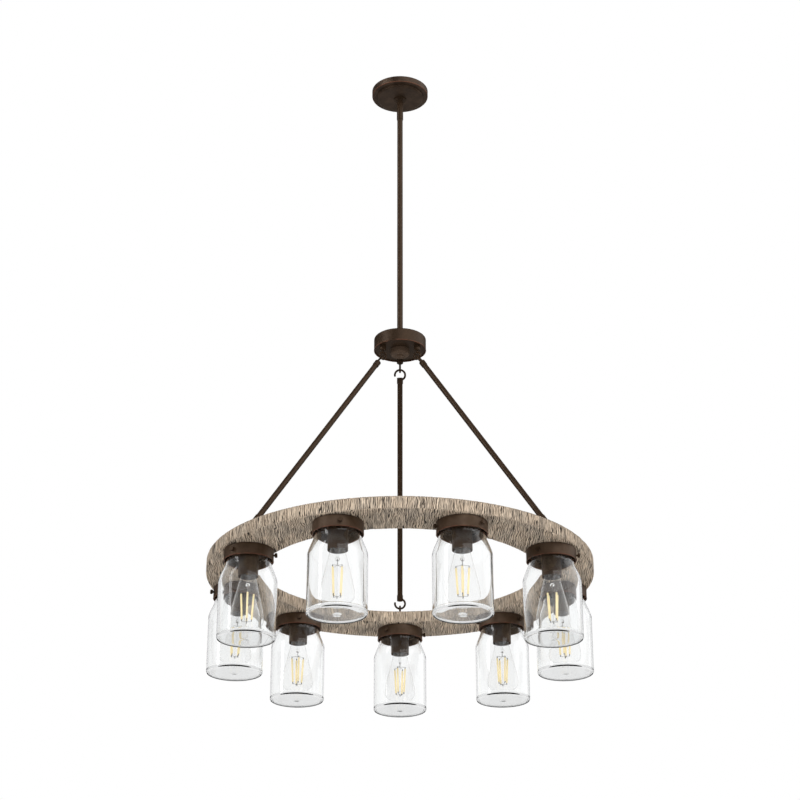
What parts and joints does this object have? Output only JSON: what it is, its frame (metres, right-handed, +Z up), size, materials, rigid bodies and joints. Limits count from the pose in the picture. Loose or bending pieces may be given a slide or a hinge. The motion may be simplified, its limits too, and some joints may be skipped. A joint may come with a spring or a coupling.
{
  "type": "ring chandelier",
  "caption": "Hanging ring chandelier: wooden ring on three hooked rods under a stem, with closed glass jar shades and filament bulbs below it.",
  "frame": {"origin": "centre of the two-slot pattern on the ceiling bracket's top face, which lies against the ceiling", "axes": "+Z up into the ceiling along the stem, -Y the front that the picture shows, +X to the viewer's right"},
  "size_m": [0.7619, 0.7666, 1.3163],
  "materials": {
    "aged_bronze": "dark oil-rubbed bronze, satin, copper showing on rolled edges",
    "galvanised_steel": "plain zinc plated",
    "seat_polymer": "natural, matte",
    "plated_brass": "satin",
    "porcelain": "glazed, ivory",
    "barn_wood": "weathered grey-brown barn wood, matte",
    "clear_jar_glass": "clear, smooth",
    "bulb_glass": "clear, thin",
    "lamp_brass": "satin, threaded",
    "filament_phosphor": "matte, pale yellow"
  },
  "bodies": {
    "canopy": {"ceiling_bracket": "galvanised_steel", "canopy": "aged_bronze", "swivel_socket": "galvanised_steel", "swivel_collar": "aged_bronze"},
    "swivel_seat": {"swivel_seat": "seat_polymer"},
    "stem": {"swivel_ball": "aged_bronze", "stem_sleeve": "aged_bronze", "stem_tube": "aged_bronze", "hub_shell": "aged_bronze", "hub_plate": "aged_bronze", "hub_cap": "aged_bronze", "cap_finial": "aged_bronze", "hub_eyes": "aged_bronze"},
    "arm_left": {"arm_left": "aged_bronze"},
    "arm_rear": {"arm_rear": "aged_bronze"},
    "arm_right": {"arm_right": "aged_bronze"},
    "ring": {"wood_ring": "barn_wood", "channel_cover": "aged_bronze", "ring_eyes": "aged_bronze", "jar_lids": "aged_bronze", "nipple_nuts": "plated_brass", "socket_cups": "aged_bronze", "lampholders": "porcelain", "glass_jars": "clear_jar_glass"},
    "bulb_1": {"bulb_1": "bulb_glass"},
    "bulb_2": {"bulb_2": "bulb_glass"},
    "bulb_3": {"bulb_3": "bulb_glass"},
    "bulb_4": {"bulb_4": "bulb_glass"},
    "bulb_5": {"bulb_5": "bulb_glass"},
    "bulb_6": {"bulb_6": "bulb_glass"},
    "bulb_7": {"bulb_7": "bulb_glass"},
    "bulb_8": {"bulb_8": "bulb_glass"},
    "bulb_9": {"bulb_9": "bulb_glass"},
    "thumbscrew_1a": {"thumbscrew_1a": "aged_bronze"},
    "thumbscrew_1b": {"thumbscrew_1b": "aged_bronze"},
    "thumbscrew_1c": {"thumbscrew_1c": "aged_bronze"},
    "thumbscrew_2a": {"thumbscrew_2a": "aged_bronze"},
    "thumbscrew_2b": {"thumbscrew_2b": "aged_bronze"},
    "thumbscrew_2c": {"thumbscrew_2c": "aged_bronze"},
    "thumbscrew_3a": {"thumbscrew_3a": "aged_bronze"},
    "thumbscrew_3b": {"thumbscrew_3b": "aged_bronze"},
    "thumbscrew_3c": {"thumbscrew_3c": "aged_bronze"},
    "thumbscrew_4a": {"thumbscrew_4a": "aged_bronze"},
    "thumbscrew_4b": {"thumbscrew_4b": "aged_bronze"},
    "thumbscrew_4c": {"thumbscrew_4c": "aged_bronze"},
    "thumbscrew_5a": {"thumbscrew_5a": "aged_bronze"},
    "thumbscrew_5b": {"thumbscrew_5b": "aged_bronze"},
    "thumbscrew_5c": {"thumbscrew_5c": "aged_bronze"},
    "thumbscrew_6a": {"thumbscrew_6a": "aged_bronze"},
    "thumbscrew_6b": {"thumbscrew_6b": "aged_bronze"},
    "thumbscrew_6c": {"thumbscrew_6c": "aged_bronze"},
    "thumbscrew_7a": {"thumbscrew_7a": "aged_bronze"},
    "thumbscrew_7b": {"thumbscrew_7b": "aged_bronze"},
    "thumbscrew_7c": {"thumbscrew_7c": "aged_bronze"},
    "thumbscrew_8a": {"thumbscrew_8a": "aged_bronze"},
    "thumbscrew_8b": {"thumbscrew_8b": "aged_bronze"},
    "thumbscrew_8c": {"thumbscrew_8c": "aged_bronze"},
    "thumbscrew_9a": {"thumbscrew_9a": "aged_bronze"},
    "thumbscrew_9b": {"thumbscrew_9b": "aged_bronze"},
    "thumbscrew_9c": {"thumbscrew_9c": "aged_bronze"}
  },
  "joints": [
    {"name": "canopy_tilt_y", "type": "hinge", "parent": "canopy", "child": "swivel_seat", "pos_m": [0, 0, -0.019], "axis": [0, 1, 0], "range_deg": [-15, 15]},
    {"name": "canopy_tilt_x", "type": "hinge", "parent": "swivel_seat", "child": "stem", "pos_m": [0, 0, -0.019], "axis": [1, 0, 0], "range_deg": [-15, 15]},
    {"name": "ring_twist", "type": "hinge", "parent": "stem", "child": "ring", "pos_m": [0, 0, -1.1149], "axis": [0, 0, 1], "range_deg": [-6, 6], "stiffness_Nm_per_rad": 3},
    {"name": "hook_yaw_left", "type": "hinge", "parent": "stem", "child": "arm_left", "pos_m": [-0.03793, -0.0219, -0.6657], "axis": [0, 0, 1], "range_deg": [-7, 7]},
    {"name": "hook_yaw_rear", "type": "hinge", "parent": "stem", "child": "arm_rear", "pos_m": [0, 0.0438, -0.6657], "axis": [0, 0, 1], "range_deg": [-7, 7]},
    {"name": "hook_yaw_right", "type": "hinge", "parent": "stem", "child": "arm_right", "pos_m": [0.03793, -0.0219, -0.6657], "axis": [0, 0, 1], "range_deg": [-7, 7]},
    {"name": "thumbscrew_1a_out", "type": "slide", "parent": "ring", "child": "thumbscrew_1a", "axis": [0.7193, -0.6947, 0], "range_m": [0, 0.0035]},
    {"name": "thumbscrew_1b_out", "type": "slide", "parent": "ring", "child": "thumbscrew_1b", "axis": [0.2419, 0.9703, 0], "range_m": [0, 0.0035]},
    {"name": "thumbscrew_1c_out", "type": "slide", "parent": "ring", "child": "thumbscrew_1c", "axis": [-0.9613, -0.2756, 0], "range_m": [0, 0.0035]},
    {"name": "thumbscrew_2a_out", "type": "slide", "parent": "ring", "child": "thumbscrew_2a", "axis": [0.9976, -0.0698, 0], "range_m": [0, 0.0035]},
    {"name": "thumbscrew_2b_out", "type": "slide", "parent": "ring", "child": "thumbscrew_2b", "axis": [-0.4384, 0.8988, 0], "range_m": [0, 0.0035]},
    {"name": "thumbscrew_2c_out", "type": "slide", "parent": "ring", "child": "thumbscrew_2c", "axis": [-0.5592, -0.829, 0], "range_m": [0, 0.0035]},
    {"name": "thumbscrew_3a_out", "type": "slide", "parent": "ring", "child": "thumbscrew_3a", "axis": [0.809, 0.5878, 0], "range_m": [0, 0.0035]},
    {"name": "thumbscrew_3b_out", "type": "slide", "parent": "ring", "child": "thumbscrew_3b", "axis": [-0.9135, 0.4067, 0], "range_m": [0, 0.0035]},
    {"name": "thumbscrew_3c_out", "type": "slide", "parent": "ring", "child": "thumbscrew_3c", "axis": [0.1045, -0.9945, 0], "range_m": [0, 0.0035]},
    {"name": "thumbscrew_4a_out", "type": "slide", "parent": "ring", "child": "thumbscrew_4a", "axis": [0.2419, 0.9703, 0], "range_m": [0, 0.0035]},
    {"name": "thumbscrew_4b_out", "type": "slide", "parent": "ring", "child": "thumbscrew_4b", "axis": [-0.9613, -0.2756, 0], "range_m": [0, 0.0035]},
    {"name": "thumbscrew_4c_out", "type": "slide", "parent": "ring", "child": "thumbscrew_4c", "axis": [0.7193, -0.6947, 0], "range_m": [0, 0.0035]},
    {"name": "thumbscrew_5a_out", "type": "slide", "parent": "ring", "child": "thumbscrew_5a", "axis": [-0.4384, 0.8988, 0], "range_m": [0, 0.0035]},
    {"name": "thumbscrew_5b_out", "type": "slide", "parent": "ring", "child": "thumbscrew_5b", "axis": [-0.5592, -0.829, 0], "range_m": [0, 0.0035]},
    {"name": "thumbscrew_5c_out", "type": "slide", "parent": "ring", "child": "thumbscrew_5c", "axis": [0.9976, -0.0698, 0], "range_m": [0, 0.0035]},
    {"name": "thumbscrew_6a_out", "type": "slide", "parent": "ring", "child": "thumbscrew_6a", "axis": [-0.9135, 0.4067, 0], "range_m": [0, 0.0035]},
    {"name": "thumbscrew_6b_out", "type": "slide", "parent": "ring", "child": "thumbscrew_6b", "axis": [0.1045, -0.9945, 0], "range_m": [0, 0.0035]},
    {"name": "thumbscrew_6c_out", "type": "slide", "parent": "ring", "child": "thumbscrew_6c", "axis": [0.809, 0.5878, 0], "range_m": [0, 0.0035]},
    {"name": "thumbscrew_7a_out", "type": "slide", "parent": "ring", "child": "thumbscrew_7a", "axis": [-0.9613, -0.2756, 0], "range_m": [0, 0.0035]},
    {"name": "thumbscrew_7b_out", "type": "slide", "parent": "ring", "child": "thumbscrew_7b", "axis": [0.7193, -0.6947, 0], "range_m": [0, 0.0035]},
    {"name": "thumbscrew_7c_out", "type": "slide", "parent": "ring", "child": "thumbscrew_7c", "axis": [0.2419, 0.9703, 0], "range_m": [0, 0.0035]},
    {"name": "thumbscrew_8a_out", "type": "slide", "parent": "ring", "child": "thumbscrew_8a", "axis": [-0.5592, -0.829, 0], "range_m": [0, 0.0035]},
    {"name": "thumbscrew_8b_out", "type": "slide", "parent": "ring", "child": "thumbscrew_8b", "axis": [0.9976, -0.0698, 0], "range_m": [0, 0.0035]},
    {"name": "thumbscrew_8c_out", "type": "slide", "parent": "ring", "child": "thumbscrew_8c", "axis": [-0.4384, 0.8988, 0], "range_m": [0, 0.0035]},
    {"name": "thumbscrew_9a_out", "type": "slide", "parent": "ring", "child": "thumbscrew_9a", "axis": [0.1045, -0.9945, 0], "range_m": [0, 0.0035]},
    {"name": "thumbscrew_9b_out", "type": "slide", "parent": "ring", "child": "thumbscrew_9b", "axis": [0.809, 0.5878, 0], "range_m": [0, 0.0035]},
    {"name": "thumbscrew_9c_out", "type": "slide", "parent": "ring", "child": "thumbscrew_9c", "axis": [-0.9135, 0.4067, 0], "range_m": [0, 0.0035]},
    {"name": "unscrew_bulb_1", "type": "hinge", "parent": "ring", "child": "bulb_1", "pos_m": [0.11293, -0.31029, -1.1843], "axis": [0, 0, -1], "range_deg": [0, 1620]},
    {"name": "unscrew_bulb_2", "type": "hinge", "parent": "ring", "child": "bulb_2", "pos_m": [0.28596, -0.1651, -1.1843], "axis": [0, 0, -1], "range_deg": [0, 1620]},
    {"name": "unscrew_bulb_3", "type": "hinge", "parent": "ring", "child": "bulb_3", "pos_m": [0.32518, 0.05734, -1.1843], "axis": [0, 0, -1], "range_deg": [0, 1620]},
    {"name": "unscrew_bulb_4", "type": "hinge", "parent": "ring", "child": "bulb_4", "pos_m": [0.21225, 0.25295, -1.1843], "axis": [0, 0, -1], "range_deg": [0, 1620]},
    {"name": "unscrew_bulb_5", "type": "hinge", "parent": "ring", "child": "bulb_5", "pos_m": [0, 0.3302, -1.1843], "axis": [0, 0, -1], "range_deg": [0, 1620]},
    {"name": "unscrew_bulb_6", "type": "hinge", "parent": "ring", "child": "bulb_6", "pos_m": [-0.21225, 0.25295, -1.1843], "axis": [0, 0, -1], "range_deg": [0, 1620]},
    {"name": "unscrew_bulb_7", "type": "hinge", "parent": "ring", "child": "bulb_7", "pos_m": [-0.32518, 0.05734, -1.1843], "axis": [0, 0, -1], "range_deg": [0, 1620]},
    {"name": "unscrew_bulb_8", "type": "hinge", "parent": "ring", "child": "bulb_8", "pos_m": [-0.28596, -0.1651, -1.1843], "axis": [0, 0, -1], "range_deg": [0, 1620]},
    {"name": "unscrew_bulb_9", "type": "hinge", "parent": "ring", "child": "bulb_9", "pos_m": [-0.11293, -0.31029, -1.1843], "axis": [0, 0, -1], "range_deg": [0, 1620]}
  ],
  "couplings": [
    {"joint": "hook_yaw_left", "follows": "ring_twist", "ratio": 1.1544},
    {"joint": "hook_yaw_rear", "follows": "ring_twist", "ratio": 1.1544},
    {"joint": "hook_yaw_right", "follows": "ring_twist", "ratio": 1.1544}
  ]
}
